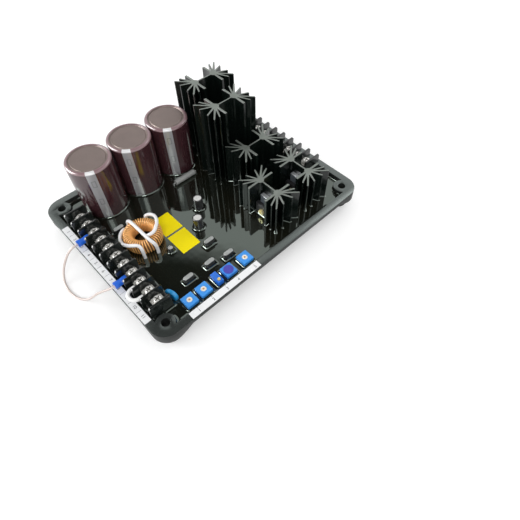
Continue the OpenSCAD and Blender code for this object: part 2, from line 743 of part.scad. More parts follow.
module trimmer_housing(i) color([0.25, 0.56, 0.91]) difference() {
    trimmer_block(i);
    at(trimmer_x[i], trimmer_y, trimmer_top - rotor_h) cylinder(h = rotor_h + cut, r = rotor_r + rotor_clear);
}

module trimmer_rotor(i) color([0.93, 0.9, 0.82])
    at(trimmer_x[i], trimmer_y, trimmer_top - rotor_h + rotor_clear) difference() {
        cylinder(h = rotor_h, r = rotor_r);
        translate([0, 0, rotor_h]) cube([2 * rotor_r + cut, slot_w, slot_w], center = true);
    }

module sealed_trimmer() color([0.16, 0.36, 0.8]) trimmer_block(3);

module sealing_lacquer() color([0.24, 0.2, 0.6]) at(trimmer_x[3], trimmer_y, trimmer_top)
    cylinder(h = lacquer_t, r = lacquer_r);

module multi_block() {
    at(trimmer_x[2], multi_y, seat_z) translate([-multi_w / 2, -multi_l / 2, 0])
        cube([multi_w, multi_l, multi_top - seat_z]);
}

module multiturn_housing() color([0.16, 0.4, 0.88]) difference() {
    multi_block();
    at(trimmer_x[2], adjuster_y, multi_top - rotor_h)
        cylinder(h = rotor_h + cut, r = adjuster_r + rotor_clear);
}

module multiturn_adjuster() color([0.82, 0.68, 0.3])
    at(trimmer_x[2], adjuster_y, multi_top - rotor_h + rotor_clear) difference() {
        cylinder(h = rotor_h + slot_w, r = adjuster_r);
        translate([0, 0, rotor_h + slot_w]) cube([2 * adjuster_r + cut, slot_w / 2, slot_w], center = true);
    }

// Choke: a ring core wound with enamelled wire and tied with cord
module at_choke_leads() {
    for (a = [0, 360 - 360 / turns])
        at(choke_x, choke_y, seat_z) translate([choke_r * cos(a), choke_r * sin(a), 0]) children();
}

module choke_core() color([0.72, 0.45, 0.22]) at(choke_x, choke_y, choke_z)
    rotate_extrude() translate([choke_r, 0]) {
        square([2 * core_r, 2 * core_rise], center = true);
        for (s = [-1, 1]) translate([0, s * core_rise]) circle(core_r);
    }

module choke_winding() color([0.85, 0.57, 0.31]) {
    last = (turns - 1) * turn_rings;
    coil = [for (i = [0:last]) ring_point(coil_r, 360 / turns * i / turn_rings, -90 + 360 * i / turn_rings)];
    to_board = seat_z - choke_z;
    leads = [for (i = [0, last]) [coil[i][0], coil[i][1], to_board]];
    at(choke_x, choke_y, choke_z) swept(concat([leads[0]], coil, [leads[1]]), wire_r, wire_sides);
}

module choke_tie() color([0.93, 0.93, 0.95]) at(choke_x, choke_y, choke_z) rotate(tie_turn)
    for (strand = [TIE_OVER, TIE_LEFT, TIE_RIGHT])
        swept(tie_path(strand), tie_r, cord_sides);

// Small board parts
module film_block(h) {
    straight = film_l - film_t;
    translate([-straight / 2, -film_t / 2, 0]) cube([straight, film_t, h]);
    for (s = [-1, 1]) translate([s * straight / 2, 0, 0]) cylinder(h = h, r = film_t / 2);
}

module film_capacitor(i) color([0.07, 0.07, 0.07]) at(FILMS[i][0], FILMS[i][1], seat_z)
    film_block(tray_h + film_rise - seat_z);

module small_capacitor(i) color([0.1, 0.1, 0.11]) at(SMALLS[i][0], SMALLS[i][1], seat_z)
    rotate_extrude() can_section(small_r, tray_h + small_rise - seat_z, small_round);

module tiny_capacitor() color([0.1, 0.1, 0.11]) at(TINY[0], TINY[1], seat_z)
    rotate_extrude() can_section(tiny_r, tray_h + tiny_rise - seat_z, small_round);

module at_resistor_leads() {
    for (s = [-1, 1]) at(resistor_x + s * (resistor_l / 2 + lead_l), resistor_y, seat_z) children();
}

module axial_resistor() color([0.2, 0.21, 0.2]) {
    span = resistor_l + 2 * lead_l;
    at(resistor_x, resistor_y, fill_z + resistor_r) rotate([0, 90, 0]) {
        translate([0, 0, -resistor_l / 2]) cylinder(h = resistor_l, r = resistor_r);
        translate([0, 0, -span / 2]) cylinder(h = span, r = lead_r);
    }
    at_resistor_leads() cylinder(h = fill_z + resistor_r - seat_z, r = lead_r);
}

module disc_section(r, t) {
    square([r - disc_round, t]);
    translate([0, disc_round]) square([r, t - 2 * disc_round]);
    for (y = [disc_round, t - disc_round]) translate([r - disc_round, y]) circle(disc_round);
}

module varistor_shape(gap) {
    at(disc_x, disc_y, tray_h + disc_rise) rotate(disc_turn) rotate([0, 90, 0])
        translate([0, 0, -disc_t / 2 - gap]) rotate_extrude() disc_section(disc_r + gap, disc_t + 2 * gap);
    for (s = [-1, 1]) at(disc_x, disc_y, seat_z) rotate(disc_turn) translate([0, s * disc_r / 2, 0])
        cylinder(h = tray_h + disc_rise - seat_z, r = lead_r + gap);
}

module disc_varistor() color([0.08, 0.5, 0.85]) varistor_shape(0);

// Stickers lie on the resin, label strips on the rim
module yellow_sticker(s) color([0.96, 0.87, 0.02])
    at(sticker_x, sticker_mid + s * (sticker_l + sticker_gap) / 2, fill_z)
        translate([-sticker_w / 2, -sticker_l / 2, 0]) cube([sticker_w, sticker_l, sticker_t]);

module label_strip_left() color([0.94, 0.94, 0.94]) at(label_margin, left_strip_y - left_strip_l / 2, tray_h)
    cube([rim_w - 2 * label_margin, left_strip_l, sticker_t]);

module label_strip_front() color([0.94, 0.94, 0.94]) at(label_start, label_margin, tray_h)
    cube([label_l, rim_w - 2 * label_margin, sticker_t]);

// Link between two neighbouring terminals
module link_insulation() color([0.95, 0.95, 0.95]) {
    middle = (way_y(LINK_WAYS[0]) + way_y(LINK_WAYS[1])) / 2;
    at(link_x, middle, fork_z) {
        for (s = [-1, 1]) translate([-link_leg, s * pitch / 2, 0]) rotate([0, 90, 0])
            cylinder(h = link_leg, r = link_r);
        translate([-link_leg, 0, 0]) rotate([0, 0, 90]) rotate_extrude(angle = 180)
            translate([pitch / 2, 0]) circle(link_r);
    }
}

module link_tongue() difference() {
    reach = left_strip_x - link_x;
    union() {
        translate([0, -tongue_w / 2, 0]) cube([reach, tongue_w, fork_t]);
        translate([reach, 0, 0]) cylinder(h = fork_t, r = screw_r);
    }
    translate([reach, 0, -cut]) cylinder(h = fork_t + 2 * cut, r = shank_r + fork_gap);
}

module link_tongues() color([0.8, 0.78, 0.74])
    for (i = LINK_WAYS) at(link_x, way_y(i), plate_z) link_tongue();

// Jumper wire with a fork lug on each end
module jumper_wire() color([0.92, 0.91, 0.9]) at(0, 0) swept(jumper_path, jumper_r, cord_sides);

module jumper_sleeves() color([0.08, 0.37, 0.84])
    for (i = JUMPER_WAYS) at(lug_x, way_y(i), fork_z) rotate([0, 90, 0]) rotate_extrude() difference() {
        polygon([[0, 0], [lug_r, 0], [lug_r, lug_l / 4], [lug_r - lug_waist, lug_l / 2],
                 [lug_r, 3 * lug_l / 4], [lug_r, lug_l], [0, lug_l]]);
        square([barrel_r + metal_gap, lug_l]);
    }

module jumper_forks() color([0.78, 0.77, 0.74]) for (i = JUMPER_WAYS) at(barrel_x, way_y(i), fork_z) {
    reach = left_strip_x - barrel_x;
    rotate([0, 90, 0]) cylinder(h = barrel_l, r = barrel_r);
    translate([0, 0, -fork_t / 2]) linear_extrude(fork_t) difference() {
        union() {
            translate([barrel_l - barrel_r, -barrel_r]) square([reach - barrel_l + barrel_r, 2 * barrel_r]);
            translate([reach - fork_w / 2, -fork_w / 2]) square([fork_w, fork_w]);
        }
        translate([reach, 0]) circle(shank_r + fork_gap);
        translate([reach, -shank_r - fork_gap]) square([fork_w, 2 * (shank_r + fork_gap)]);
    }
}

tray();
circuit_board();
potting();
capacitor_can(0);  // capacitor_can_1
capacitor_can(1);  // capacitor_can_2
capacitor_can(2);  // capacitor_can_3
capacitor_sleeve(0);  // capacitor_sleeve_1
capacitor_sleeve(1);  // capacitor_sleeve_2
capacitor_sleeve(2);  // capacitor_sleeve_3
color([0.04, 0.04, 0.045]) terminal_base(left_strip_x, left_strip_y, left_ways, -1);  // left_terminal_base
terminal_plates(left_strip_x, left_strip_y, left_ways, -1);  // left_terminal_plates
terminal_screws(left_strip_x, left_strip_y, left_ways);  // left_terminal_screws
color([0.04, 0.04, 0.045]) terminal_base(right_strip_x, right_strip_y, right_ways, 1);  // right_terminal_base
terminal_plates(right_strip_x, right_strip_y, right_ways, 1);  // right_terminal_plates
terminal_screws(right_strip_x, right_strip_y, right_ways);  // right_terminal_screws
heat_sink(0);  // heat_sink_short_left
heat_sink(1);  // heat_sink_short_right
heat_sink(2);  // heat_sink_middle
heat_sink(3);  // heat_sink_tall_front
heat_sink(4);  // heat_sink_tall_back
device_body(0);  // device_body_1
device_body(1);  // device_body_2
device_body(2);  // device_body_3
device_body(3);  // device_body_4
device_body(4);  // device_body_5
device_tabs();
device_screws();
trimmer_housing(0);  // trimmer_housing_1
trimmer_rotor(0);  // trimmer_rotor_1
trimmer_housing(1);  // trimmer_housing_2
trimmer_rotor(1);  // trimmer_rotor_2
multiturn_housing();
multiturn_adjuster();
sealed_trimmer();
sealing_lacquer();
trimmer_housing(4);  // trimmer_housing_5
trimmer_rotor(4);  // trimmer_rotor_5
choke_core();
choke_winding();
choke_tie();
film_capacitor(0);  // film_capacitor_1
film_capacitor(1);  // film_capacitor_2
film_capacitor(2);  // film_capacitor_3
film_capacitor(3);  // film_capacitor_4
film_capacitor(4);  // film_capacitor_5
small_capacitor(0);  // small_capacitor_1
small_capacitor(1);  // small_capacitor_2
tiny_capacitor();  // small_capacitor_3
axial_resistor();
disc_varistor();
yellow_sticker(1);  // yellow_sticker_1
yellow_sticker(-1);  // yellow_sticker_2
label_strip_left();
label_strip_front();
link_insulation();
link_tongues();
jumper_wire();
jumper_sleeves();
jumper_forks();
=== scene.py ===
import math

import bmesh
import bpy
from mathutils import Matrix, Vector


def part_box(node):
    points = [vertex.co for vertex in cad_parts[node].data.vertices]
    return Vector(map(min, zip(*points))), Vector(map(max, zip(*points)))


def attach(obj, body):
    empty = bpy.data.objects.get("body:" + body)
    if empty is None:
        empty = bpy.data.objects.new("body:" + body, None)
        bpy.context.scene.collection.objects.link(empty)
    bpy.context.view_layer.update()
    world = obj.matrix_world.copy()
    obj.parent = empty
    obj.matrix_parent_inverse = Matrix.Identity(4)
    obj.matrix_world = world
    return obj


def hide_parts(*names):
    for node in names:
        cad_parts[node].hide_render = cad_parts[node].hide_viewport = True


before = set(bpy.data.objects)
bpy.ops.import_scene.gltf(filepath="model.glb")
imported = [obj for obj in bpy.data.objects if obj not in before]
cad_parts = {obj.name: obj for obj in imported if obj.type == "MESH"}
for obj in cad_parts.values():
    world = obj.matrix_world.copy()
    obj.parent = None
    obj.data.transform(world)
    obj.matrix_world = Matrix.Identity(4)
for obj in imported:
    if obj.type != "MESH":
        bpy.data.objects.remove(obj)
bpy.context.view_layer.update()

# The studio: a plain white table top under a soft white tent with an open roof and one window. The table
# is lit by the lamps, keeps the shadow, and shows as white paper to the camera and in reflections.
WHITE = (1, 1, 1, 1)
PAPER_WHITE, PAPER_ROUGH, PAPER_GLOSS, PAPER_LIFT = (0.9, 0.9, 0.9, 1), 0.7, 0.1, 0.20
TABLE_HALF, TABLE_DROP = 3.0, 0.0002
TENT_SOFT_LIGHT = 0.78
ROOF_DIRECTION, ROOF_EDGE, ROOF_DARK = (-0.25, 0.10, 0.96), (0.715, 0.775), 0.02
WINDOW_DIRECTION, WINDOW_EDGE, WINDOW_BRIGHT = (-0.72, 0.58, 0.38), (0.84, 0.95), 11.0
LAMPS = (("lamp_left", (-0.55, -0.62, 0.80), 0.32, 2.8),
         ("lamp_window", (-0.74, 0.67, 0.47), 0.5, 3.2),
         ("lamp_right", (0.85, -0.20, 0.70), 0.45, 1.6))

scene = bpy.context.scene
scene.view_settings.view_transform = "Standard"


def ray_kind(nodes, links, *kinds):
    """A value of 1 for the kinds of ray named, from the Light Path node."""
    path = nodes.new("ShaderNodeLightPath")
    total = path.outputs[kinds[0]]
    for kind in kinds[1:]:
        either = nodes.new("ShaderNodeMath")
        either.operation = "MAXIMUM"
        links.new(total, either.inputs[0])
        links.new(path.outputs[kind], either.inputs[1])
        total = either.outputs[0]
    return total


paper = bpy.data.materials.new("table_paper")
paper.use_nodes = True
paper_nodes, paper_links = paper.node_tree.nodes, paper.node_tree.links
paper_shader = paper_nodes["Principled BSDF"]
paper_shader.inputs["Base Color"].default_value = PAPER_WHITE
paper_shader.inputs["Roughness"].default_value = PAPER_ROUGH
paper_shader.inputs["Specular IOR Level"].default_value = PAPER_GLOSS
paper_shader.inputs["Emission Color"].default_value = WHITE
lift = paper_nodes.new("ShaderNodeMath")
lift.operation = "MULTIPLY"
lift.inputs[1].default_value = PAPER_LIFT
paper_seen = ray_kind(paper_nodes, paper_links, "Is Camera Ray", "Is Glossy Ray", "Is Transmission Ray")
paper_links.new(paper_seen, lift.inputs[0])
paper_links.new(lift.outputs[0], paper_shader.inputs["Emission Strength"])

table_top = bmesh.new()
bmesh.ops.create_grid(table_top, x_segments=1, y_segments=1, size=TABLE_HALF)
bmesh.ops.translate(table_top, vec=(0, 0, -TABLE_DROP), verts=table_top.verts)
table_mesh = bpy.data.meshes.new("table_top")
table_top.to_mesh(table_mesh)
table_top.free()
table = bpy.data.objects.new("table_top", table_mesh)
scene.collection.objects.link(table)
table.data.materials.append(paper)

tent = bpy.data.worlds.new("white_tent")
scene.world = tent
tent.use_nodes = True
tent_nodes, tent_links = tent.node_tree.nodes, tent.node_tree.links
tent_nodes.clear()
towards = tent_nodes.new("ShaderNodeTexCoord")


def tent_light(strength=1.0):
    """White light from all sides."""
    light = tent_nodes.new("ShaderNodeBackground")
    light.inputs["Color"].default_value = WHITE
    light.inputs["Strength"].default_value = strength
    return light


def tent_patch(direction, edge, outside, inside):
    """A soft round patch of the tent about a direction, as a strength inside and outside it."""
    share = tent_nodes.new("ShaderNodeVectorMath")
    share.operation = "DOT_PRODUCT"
    share.inputs[1].default_value = direction
    patch = tent_nodes.new("ShaderNodeMapRange")
    patch.interpolation_type = "SMOOTHSTEP"
    patch.inputs["From Min"].default_value, patch.inputs["From Max"].default_value = edge
    patch.inputs["To Min"].default_value, patch.inputs["To Max"].default_value = outside, inside
    tent_links.new(towards.outputs["Generated"], share.inputs[0])
    tent_links.new(share.outputs["Value"], patch.inputs["Value"])
    return patch.outputs["Result"]


def tent_choice(kinds, light, light_for_kinds):
    """One light for the kinds of ray named, and another for the rest."""
    choice = tent_nodes.new("ShaderNodeMixShader")
    named = ray_kind(tent_nodes, tent_links, *kinds)
    for source, socket in zip((named, light, light_for_kinds), choice.inputs):
        tent_links.new(source, socket)
    return choice.outputs[0]


roof_and_window = tent_nodes.new("ShaderNodeMath")
roof_and_window.operation = "ADD"
tent_links.new(tent_patch(ROOF_DIRECTION, ROOF_EDGE, 1.0, ROOF_DARK), roof_and_window.inputs[0])
tent_links.new(tent_patch(WINDOW_DIRECTION, WINDOW_EDGE, 0.0, WINDOW_BRIGHT), roof_and_window.inputs[1])
seen_roof = tent_light()
tent_links.new(roof_and_window.outputs[0], seen_roof.inputs["Strength"])
mirrored = tent_choice(["Is Glossy Ray"], tent_light(TENT_SOFT_LIGHT).outputs[0], seen_roof.outputs[0])
shown = tent_choice(["Is Camera Ray", "Is Transmission Ray"], mirrored, tent_light().outputs[0])
tent_links.new(shown, tent_nodes.new("ShaderNodeOutputWorld").inputs["Surface"])

for name, place, side, watts in LAMPS:
    lamp = bpy.data.lights.new(name, "AREA")
    lamp.size, lamp.energy = side, watts
    holder = bpy.data.objects.new(name, lamp)
    holder.location = place
    holder.rotation_euler = (-Vector(place)).to_track_quat("-Z", "Y").to_euler()
    scene.collection.objects.link(holder)

# The camera: a plain lens above the regulator's front left corner, at the height and turn from which
# the whole module is seen with its wire side to the left.
CAMERA_PLACE = (-0.131118, -0.203711, 0.269027)
CAMERA_TURN, CAMERA_TILT, CAMERA_ROLL = (math.radians(a) for a in (-43.743, 34.776, -0.132))
SENSOR_WIDTH, FOCAL_LENGTH = 36.0, 28.226
CLIP_NEAR, CLIP_FAR = 0.01, 20.0

lens = bpy.data.cameras.new("camera")
lens.sensor_width, lens.lens = SENSOR_WIDTH, FOCAL_LENGTH
lens.clip_start, lens.clip_end = CLIP_NEAR, CLIP_FAR
camera = bpy.data.objects.new("camera", lens)
camera.matrix_world = (Matrix.Translation(CAMERA_PLACE) @ Matrix.Rotation(CAMERA_TURN, 4, "Z")
                       @ Matrix.Rotation(CAMERA_TILT, 4, "X") @ Matrix.Rotation(CAMERA_ROLL, 4, "Z"))
scene.collection.objects.link(camera)
scene.camera = camera

# The tray: one moulding of black plastic with a flat rim, four hollow corner posts and feet. Its edges
# are softly rounded from the mould. The rim is half polished, and the upright walls are matt, with
# painted shade: they are coloured darker than the rim.
MM = 0.001
TRAY_EDGE = 0.4
# The upright walls' darker colour is painted shade.
TRAY_BLACK, SHADED_WALL_BLACK = (0.032, 0.036, 0.034), (0.014, 0.016, 0.015)
TRAY_SHEEN = (0.88, 1.0, 0.96, 1)
WALL_LEAN = 0.3
COAT_ROUGH = 0.08
BROAD_DETAIL, FINE_DETAIL = 4.0, 2.0
ROUGH_SPREAD, LEAST_ROUGH = 0.2, 0.02
GRAIN_DEPTH = 0.1
CREASE_ANGLE, EDGE_ANGLE, FLAT_ANGLE = (math.radians(a) for a in (32, 40, 1))
SAME_PLACE = 0.002


def finish(name, colour, rough, metal=0.0, tone=0.25, patch=70.0, grain=1500.0, bump=0.0, depth=GRAIN_DEPTH,
           gloss=0.5, ior=1.5, stretch=(1, 1, 1), coat=0.0, sheen=WHITE, second_colour=None):
    """A material whose colour, gloss and surface vary over the piece: broad patches and a fine grain."""
    material = bpy.data.materials.new(name)
    material.use_nodes = True
    nodes, links = material.node_tree.nodes, material.node_tree.links
    shader = nodes["Principled BSDF"]
    shader.inputs["Metallic"].default_value = metal
    shader.inputs["Specular IOR Level"].default_value = gloss
    shader.inputs["Specular Tint"].default_value = sheen
    shader.inputs["IOR"].default_value = ior
    shader.inputs["Coat Weight"].default_value = coat
    shader.inputs["Coat Roughness"].default_value = COAT_ROUGH
    where = nodes.new("ShaderNodeTexCoord")
    layout = nodes.new("ShaderNodeMapping")
    layout.name = "layout"
    layout.inputs["Scale"].default_value = stretch
    links.new(where.outputs["Object"], layout.inputs["Vector"])
    broad = nodes.new("ShaderNodeTexNoise")
    broad.inputs["Scale"].default_value = patch
    broad.inputs["Detail"].default_value = BROAD_DETAIL
    fine = nodes.new("ShaderNodeTexNoise")
    fine.inputs["Scale"].default_value = grain
    fine.inputs["Detail"].default_value = FINE_DETAIL
    for pattern in (broad, fine):
        links.new(layout.outputs["Vector"], pattern.inputs["Vector"])
    dark, light = (c * (1 - tone) for c in colour), (min(1.0, c * (1 + tone)) for c in colour)
    if second_colour:
        dark, light = colour, second_colour
    shade = nodes.new("ShaderNodeMix")
    shade.data_type = "RGBA"
    shade.inputs[6].default_value = (*dark, 1)
    shade.inputs[7].default_value = (*light, 1)
    links.new(broad.outputs["Fac"], shade.inputs["Factor"])
    links.new(shade.outputs[2], shader.inputs["Base Color"])
    polish = nodes.new("ShaderNodeMapRange")
    polish.inputs["To Min"].default_value = max(LEAST_ROUGH, rough * (1 - ROUGH_SPREAD))
    polish.inputs["To Max"].default_value = min(1.0, rough * (1 + ROUGH_SPREAD))
    links.new(broad.outputs["Fac"], polish.inputs["Value"])
    links.new(polish.outputs["Result"], shader.inputs["Roughness"])
    if bump:
        relief = nodes.new("ShaderNodeBump")
        relief.inputs["Strength"].default_value = bump
        relief.inputs["Distance"].default_value = depth * MM
        links.new(fine.outputs["Fac"], relief.inputs["Height"])
        links.new(relief.outputs["Normal"], shader.inputs["Normal"])
    return material


def crease(shape):
    """Smooth shading, with every edge sharper than the crease angle kept crisp."""
    for face in shape.faces:
        face.smooth = True
    for edge in shape.edges:
        edge.smooth = edge.calc_face_angle(0) < CREASE_ANGLE


def merged_copy(node):
    """The CAD node's solid in millimetres, with its triangles joined into whole faces."""
    shape = bmesh.new()
    shape.from_mesh(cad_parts[node].data)
    bmesh.ops.scale(shape, vec=(1 / MM,) * 3, verts=shape.verts)
    bmesh.ops.remove_doubles(shape, verts=shape.verts, dist=SAME_PLACE)
    bmesh.ops.dissolve_limit(shape, angle_limit=FLAT_ANGLE, verts=shape.verts, edges=shape.edges)
    return shape


def break_edges(shape, width, segments=2):
    """Takes the sharpness off every edge, as a mould or a tumbler does."""
    sharp = [edge for edge in shape.edges if edge.calc_face_angle(0) > EDGE_ANGLE]
    bmesh.ops.bevel(shape, geom=sharp, offset=width, segments=segments, profile=0.5, affect="EDGES",
                    clamp_overlap=True, material=-1)
    crease(shape)
    return shape


def piece(name, shape, materials, body="regulator", stands_for=()):
    """Makes a shape in millimetres a named piece of the regulator."""
    bmesh.ops.scale(shape, vec=(MM,) * 3, verts=shape.verts)
    mesh = bpy.data.meshes.new(name)
    shape.to_mesh(mesh)
    shape.free()
    made = bpy.data.objects.new(name, mesh)
    scene.collection.objects.link(made)
    for material in materials:
        mesh.materials.append(material)
    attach(made, body)
    if stands_for:
        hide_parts(*stands_for)


tray_plastic = finish("black_tray_plastic", TRAY_BLACK, 0.22, patch=40, grain=2600, bump=0.15, gloss=0.85,
                      ior=1.7, sheen=TRAY_SHEEN)
# Painted shade: the upright walls get a darker black than the rim.
painted_shade_wall_plastic = finish("matt_tray_painted_shade_wall_plastic", SHADED_WALL_BLACK, 0.5, patch=40, grain=2600, bump=0.25, gloss=0.3)
moulded_tray = break_edges(merged_copy("tray"), TRAY_EDGE)
for face in moulded_tray.faces:
    face.material_index = 1 if abs(face.normal.z) < WALL_LEAN else 0
piece("tray_moulding", moulded_tray, [tray_plastic, painted_shade_wall_plastic], stands_for=["tray"])

# The circuit board: a green glass laminate panel on the tray's stand-offs, buried under the resin. Its
# solder mask is a little uneven.


def dress(material, *nodes):
    """Gives CAD nodes whose shape is already right their finish."""
    for node in nodes:
        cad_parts[node].data.materials.clear()
        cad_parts[node].data.materials.append(material)


dress(finish("green_board_mask", (0.02, 0.13, 0.05), 0.35, patch=30, grain=900, bump=0.1), "circuit_board")

# The potting: black casting resin poured to just below the rim and cured to a mirror. It climbs a
# little up the wall and up everything that stands in it, so each part has a bright fillet at its foot.
RESIN_TOP = 15.0
RESIN_GREEN, RESIN_AMBER = (0.004, 0.0090, 0.0072), (0.012, 0.0085, 0.0045)
RESIN_SHEEN = (0.86, 1.0, 0.91, 1)
RIPPLE_DEPTH = 0.25
WELL_HALF, WELL_CORNER = (97.2, 75.7), 6.2
POST_PLACES, POST_R = [(x, y) for x in (-92.5, 92.5) for y in (-71.0, 71.0)], 6.9
CLIMB = ((0.0, 1.30), (0.22, 0.92), (0.5, 0.58), (0.9, 0.30), (1.5, 0.10), (2.3, 0.015))
FIN_CLIMB = ((0.0, 0.75), (0.22, 0.36), (0.3, 0.14), (0.4, 0.02))
FOOT_CORNER = 0.4
CORNER_STEPS, POST_STEPS = 5, 40
UPRIGHT_BOXES = ("left_terminal_base", "right_terminal_base", "trimmer_housing_1", "trimmer_housing_2",
                 "multiturn_housing", "sealed_trimmer", "trimmer_housing_5",
                 *(f"film_capacitor_{i}" for i in range(1, 6)), *(f"device_body_{i}" for i in range(1, 6)))
UPRIGHT_ROUNDS = (*(f"capacitor_sleeve_{i}" for i in (1, 2, 3)), *(f"small_capacitor_{i}" for i in (1, 2, 3)))
SINKS = ("heat_sink_short_left", "heat_sink_short_right", "heat_sink_middle", "heat_sink_tall_front",
         "heat_sink_tall_back")

casting_resin = finish("black_casting_resin", RESIN_GREEN, 0.03, patch=25, grain=55, bump=0.35,
                       depth=RIPPLE_DEPTH, gloss=1.0, ior=1.7, sheen=RESIN_SHEEN, second_colour=RESIN_AMBER)
dress(casting_resin, "potting")


def middle_and_half(node):
    """The middle and the half sizes of a CAD node's box, in millimetres."""
    low, high = (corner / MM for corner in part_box(node))
    return (low + high) / 2, (high - low) / 2


def verts_in(geometry):
    """The points among the results of a mesh operator."""
    return [item for item in geometry if isinstance(item, bmesh.types.BMVert)]


def edges_in(geometry):
    """The edges among the results of a mesh operator."""
    return [item for item in geometry if isinstance(item, bmesh.types.BMEdge)]


def chain(shape, places):
    """A row of edges from place to place, with the points between them."""
    points = [shape.verts.new(place) for place in places]
    return points, [shape.edges.new(pair) for pair in zip(points, points[1:])]


def fillet_round_box(shape, x, y, half_x, half_y, corner, outwards=1):
    """A resin fillet swept round the foot of an upright with a rounded rectangle for its section."""
    start_x, start_y = x + half_x, y - half_y + corner
    _, run = chain(shape, [(start_x + outwards * d, start_y, RESIN_TOP + z) for d, z in CLIMB])
    lengths = (2 * (half_y - corner), 2 * (half_x - corner)) * 2
    corners = ((1, 1), (-1, 1), (-1, -1), (1, -1))
    heading = Vector((0, 1, 0))
    for length, (side_x, side_y) in zip(lengths, corners):
        drawn = bmesh.ops.extrude_edge_only(shape, edges=run)["geom"]
        ends = verts_in(drawn)
        bmesh.ops.translate(shape, vec=heading * length, verts=ends)
        middle = (x + side_x * (half_x - corner), y + side_y * (half_y - corner), 0)
        bent = bmesh.ops.spin(shape, geom=ends + edges_in(drawn), cent=middle, axis=(0, 0, 1),
                              angle=math.pi / 2, steps=CORNER_STEPS)
        run = edges_in(bent["geom_last"])
        heading = Vector((-heading.y, heading.x, 0))


def fillet_round_post(shape, x, y, r):
    """A resin fillet spun round the foot of an upright cylinder."""
    points, run = chain(shape, [(x + r + d, y, RESIN_TOP + z) for d, z in CLIMB])
    bmesh.ops.spin(shape, geom=points + run, cent=(x, y, 0), axis=(0, 0, 1), angle=2 * math.pi,
                   steps=POST_STEPS, use_merge=True)


def fillet_fins(node):
    """A narrow resin fillet drawn outwards, at the level of the resin, from the outline of a sink's end."""
    foot = merged_copy(node)
    end = max(foot.faces, key=lambda face: len(face.verts) if face.normal.z > 0.9 else 0)
    bmesh.ops.delete(foot, geom=[face for face in foot.faces if face is not end], context="FACES")
    for vert in end.verts:
        vert.co.z = RESIN_TOP + FIN_CLIMB[0][1]
    for reach, height in FIN_CLIMB[1:]:
        bmesh.ops.inset_region(foot, faces=[end], thickness=-reach, use_even_offset=True, use_boundary=True)
        for vert in end.verts:
            vert.co.z = RESIN_TOP + height
    bmesh.ops.delete(foot, geom=[end], context="FACES_ONLY")
    foot.normal_update()
    return foot


def face_up(shape):
    """Smooth shading, with every face turned upwards."""
    for face in shape.faces:
        face.smooth = True
        if face.normal.z < 0:
            face.normal_flip()


fillets = bmesh.new()
fillet_round_box(fillets, 0, 0, *WELL_HALF, WELL_CORNER, outwards=-1)
for post_x, post_y in POST_PLACES:
    fillet_round_post(fillets, post_x, post_y, POST_R)
for node in UPRIGHT_BOXES:
    centre, half = middle_and_half(node)
    fillet_round_box(fillets, centre.x, centre.y, half.x, half.y, FOOT_CORNER)
for node in UPRIGHT_ROUNDS:
    centre, half = middle_and_half(node)
    fillet_round_post(fillets, centre.x, centre.y, half.x)
bmesh.ops.remove_doubles(fillets, verts=fillets.verts, dist=SAME_PLACE)
bmesh.ops.recalc_face_normals(fillets, faces=fillets.faces)
face_up(fillets)
piece("resin_fillets", fillets, [casting_resin])
for node in SINKS:
    fin_foot = fillet_fins(node)
    face_up(fin_foot)
    piece(node.replace("heat_sink", "resin_round"), fin_foot, [casting_resin])

# The three large capacitors: drawn aluminium cans in a shrunk maroon sleeve that curls over the top
# edge. A pale stripe with plain oblong marks runs down the negative side of each sleeve. The rounded
# shoulder carries a painted highlight: the sleeve is lighter mauve there, and the stripe whiter.
CAN_R, SLEEVE_R, SLEEVE_LIP_R, SLEEVE_T = 17.1, 17.5, 15.1, 0.4
CAN_FOOT, SLEEVE_TOP = (corner.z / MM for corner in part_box("capacitor_sleeve_1"))
CAN_TOP = SLEEVE_TOP - SLEEVE_T
CAN_PLAY, CAN_SHOULDER = 0.1, 1.7
CAN_END = ((15.4, 0), (14.6, 0), (14.3, 0.5), (13.5, 0.5), (13.2, 0.15), (6.0, 0.12), (0, 0.12))
SLEEVE_ROUND, SLEEVE_WAIST = 1.8, 30.0
LIP_ACROSS, LIP_DOWN, LIP_TUCK = 0.15, 0.12, 0.1
SHOULDER = (SLEEVE_TOP - SLEEVE_ROUND - CAN_FOOT) / (SLEEVE_TOP - CAN_FOOT)
STRIPE_ANGLES = (-115.0, -129.0, -122.0)
STRIPE_W = 7.0
STRIPE_SHARE = STRIPE_W / (2 * math.pi * SLEEVE_R)
STRIPE_CELLS = 3.0
MARK_LEVEL, MARK_OUTER, MARK_INNER = 0.4, (0.24, 0.17), (0.15, 0.13)
# The shoulder mauve and the stripe's white end are a painted highlight on the rounded shoulder.
SLEEVE_MAROON, SHOULDER_HIGHLIGHT_MAUVE = (0.050, 0.019, 0.023), (0.24, 0.15, 0.16)
STRIPE_GREY, STRIPE_END_HIGHLIGHT_WHITE, MARK_GREY = (0.30, 0.30, 0.31), (0.74, 0.74, 0.75), (0.20, 0.20, 0.21)
CAN_GREY = (0.215, 0.170, 0.155)
SPUN_SAME_PLACE = 0.0005


def turned(outline, x, y, steps=64):
    """A shape spun about an upright axis at (x, y) from its half section of (radius, height) points."""
    shape = bmesh.new()
    points, run = chain(shape, [(r, 0, z) for r, z in outline])
    bmesh.ops.spin(shape, geom=points + run, cent=(0, 0, 0), axis=(0, 0, 1), angle=2 * math.pi, steps=steps,
                   use_merge=True)
    bmesh.ops.remove_doubles(shape, verts=shape.verts, dist=SPUN_SAME_PLACE)
    bmesh.ops.recalc_face_normals(shape, faces=shape.faces)
    bmesh.ops.translate(shape, vec=(x, y, 0), verts=shape.verts)
    crease(shape)
    return shape


